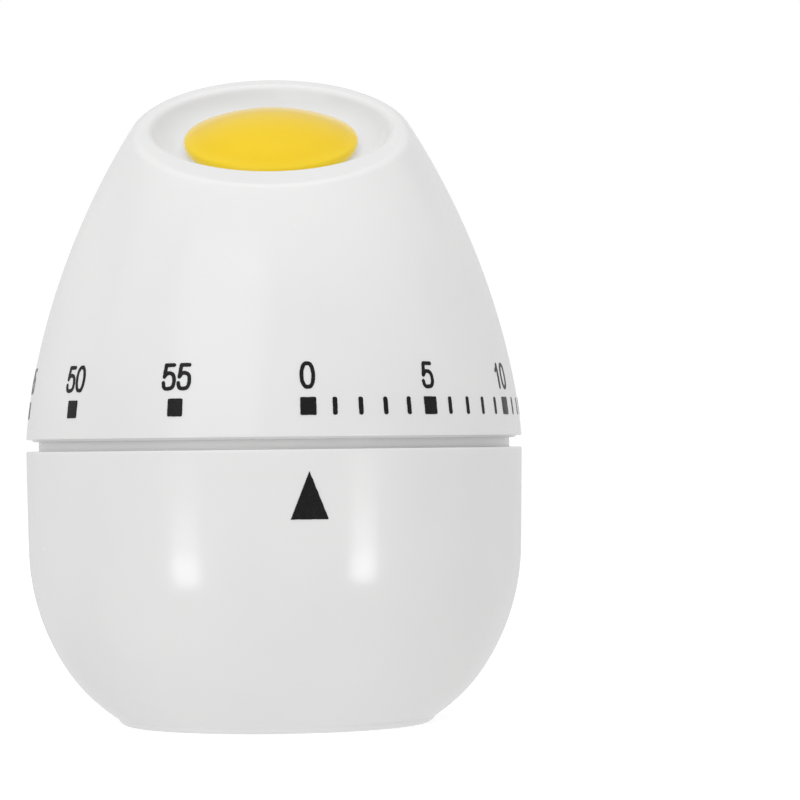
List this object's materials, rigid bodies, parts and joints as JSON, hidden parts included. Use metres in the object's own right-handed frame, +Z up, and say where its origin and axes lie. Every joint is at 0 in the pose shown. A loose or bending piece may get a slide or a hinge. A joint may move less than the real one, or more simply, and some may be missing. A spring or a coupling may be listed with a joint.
{
  "type": "kitchen timer",
  "caption": "Egg-shaped one-hour clockwork kitchen timer: white turning dial with a slanted cut top and a yellow yolk dome, on a round base, with its ringing movement inside.",
  "frame": {"origin": "middle of the flat foot ring that the timer stands on", "axes": "+Z up along the dial's axis; the pointer faces -Y; the minutes grow from 0 at -Y towards +X"},
  "size_m": [0.06, 0.06, 0.0792],
  "materials": {
    "white_plastic": "glossy moulded ABS, neutral white",
    "yolk_yellow": "glossy moulded plastic, egg-yolk yellow",
    "black_ink": "pad-printed black ink, satin",
    "bell_steel": "nickel-plated pressed steel",
    "plate_steel": "zinc-plated sheet steel",
    "zinc_steel": "turned steel, bright",
    "spring_steel": "blued spring steel",
    "brass": "stamped brass, lightly burnished"
  },
  "bodies": {
    "base": {"base_shell": "white_plastic", "pointer_mark": "black_ink", "case_screw": "zinc_steel", "bell": "bell_steel", "bell_washer": "zinc_steel", "centre_post": "brass", "bottom_plate": "plate_steel", "top_plate": "plate_steel", "pillars": "brass", "pillar_nuts": "zinc_steel", "mainspring": "spring_steel", "spring_post": "zinc_steel", "release_stud": "brass"},
    "dial": {"dial_shell": "white_plastic", "yolk_cap": "yolk_yellow", "scale_marks": "black_ink", "scale_numerals": "black_ink", "main_arbor": "zinc_steel", "spring_collet": "brass", "ratchet_wheel": "zinc_steel", "release_cam": "brass"},
    "great_wheel_body": {"great_wheel": "brass", "click_stud": "zinc_steel", "click_spring": "spring_steel"},
    "click_body": {"click": "zinc_steel"},
    "second_body": {"second_pinion": "zinc_steel", "second_wheel": "brass"},
    "third_body": {"third_pinion": "zinc_steel", "third_wheel": "brass"},
    "escape_body": {"escape_pinion": "zinc_steel", "escape_wheel": "brass"},
    "balance_body": {"pallet_arbor": "zinc_steel", "pallet_anchor": "zinc_steel", "balance_ring": "brass"},
    "strike_body": {"strike_pinion": "zinc_steel", "strike_star": "brass"},
    "hammer_body": {"hammer_arbor": "zinc_steel", "hammer_tail": "zinc_steel", "hammer_arm": "plate_steel", "hammer_head": "brass", "hammer_catch": "zinc_steel"},
    "release_body": {"release_lever": "plate_steel"}
  },
  "joints": [
    {"name": "dial_turn", "type": "hinge", "parent": "base", "child": "dial", "pos_m": [0, 0, 0], "axis": [0, 0, -1], "range_deg": [0, 355]},
    {"name": "great_wheel_turn", "type": "hinge", "parent": "base", "child": "great_wheel_body", "pos_m": [0, 0, 0], "axis": [0, 0, -1], "range_deg": [0, 355]},
    {"name": "click_lift", "type": "hinge", "parent": "great_wheel_body", "child": "click_body", "pos_m": [0.004, 0.00693, 0], "axis": [0, 0, 1], "range_deg": [0, 9]},
    {"name": "second_wheel_turn", "type": "hinge", "parent": "base", "child": "second_body", "pos_m": [0.0136, 0, 0], "axis": [0, 0, 1], "range_deg": [0, 2662.5]},
    {"name": "third_wheel_turn", "type": "hinge", "parent": "base", "child": "third_body", "pos_m": [0.00839, 0.0107, 0], "axis": [0, 0, -1], "range_deg": [0, 19968.75]},
    {"name": "escape_wheel_turn", "type": "hinge", "parent": "base", "child": "escape_body", "pos_m": [-0.00155, 0.01492, 0], "axis": [0, 0, 1], "range_deg": [0, 159750]},
    {"name": "balance_swing", "type": "hinge", "parent": "base", "child": "balance_body", "pos_m": [-0.00704, 0.01381, 0], "axis": [0, 0, 1], "range_deg": [-4, 4]},
    {"name": "strike_star_turn", "type": "hinge", "parent": "base", "child": "strike_body", "pos_m": [-0.01114, -0.0078, 0], "axis": [0, 0, 1], "range_deg": [0, 2662.5]},
    {"name": "hammer_swing", "type": "hinge", "parent": "base", "child": "hammer_body", "pos_m": [-0.00524, -0.0132, 0], "axis": [0, 0, -1], "range_deg": [-6, 5]},
    {"name": "release_lever_drop", "type": "hinge", "parent": "base", "child": "release_body", "pos_m": [-0.0141, -0.00513, 0], "axis": [0, 0, 1], "range_deg": [0, 7]}
  ],
  "couplings": [
    {"joint": "great_wheel_turn", "follows": "dial_turn", "ratio": 1},
    {"joint": "second_wheel_turn", "follows": "dial_turn", "ratio": 7.5},
    {"joint": "third_wheel_turn", "follows": "dial_turn", "ratio": 56.25},
    {"joint": "escape_wheel_turn", "follows": "dial_turn", "ratio": 450},
    {"joint": "strike_star_turn", "follows": "dial_turn", "ratio": 7.5}
  ]
}
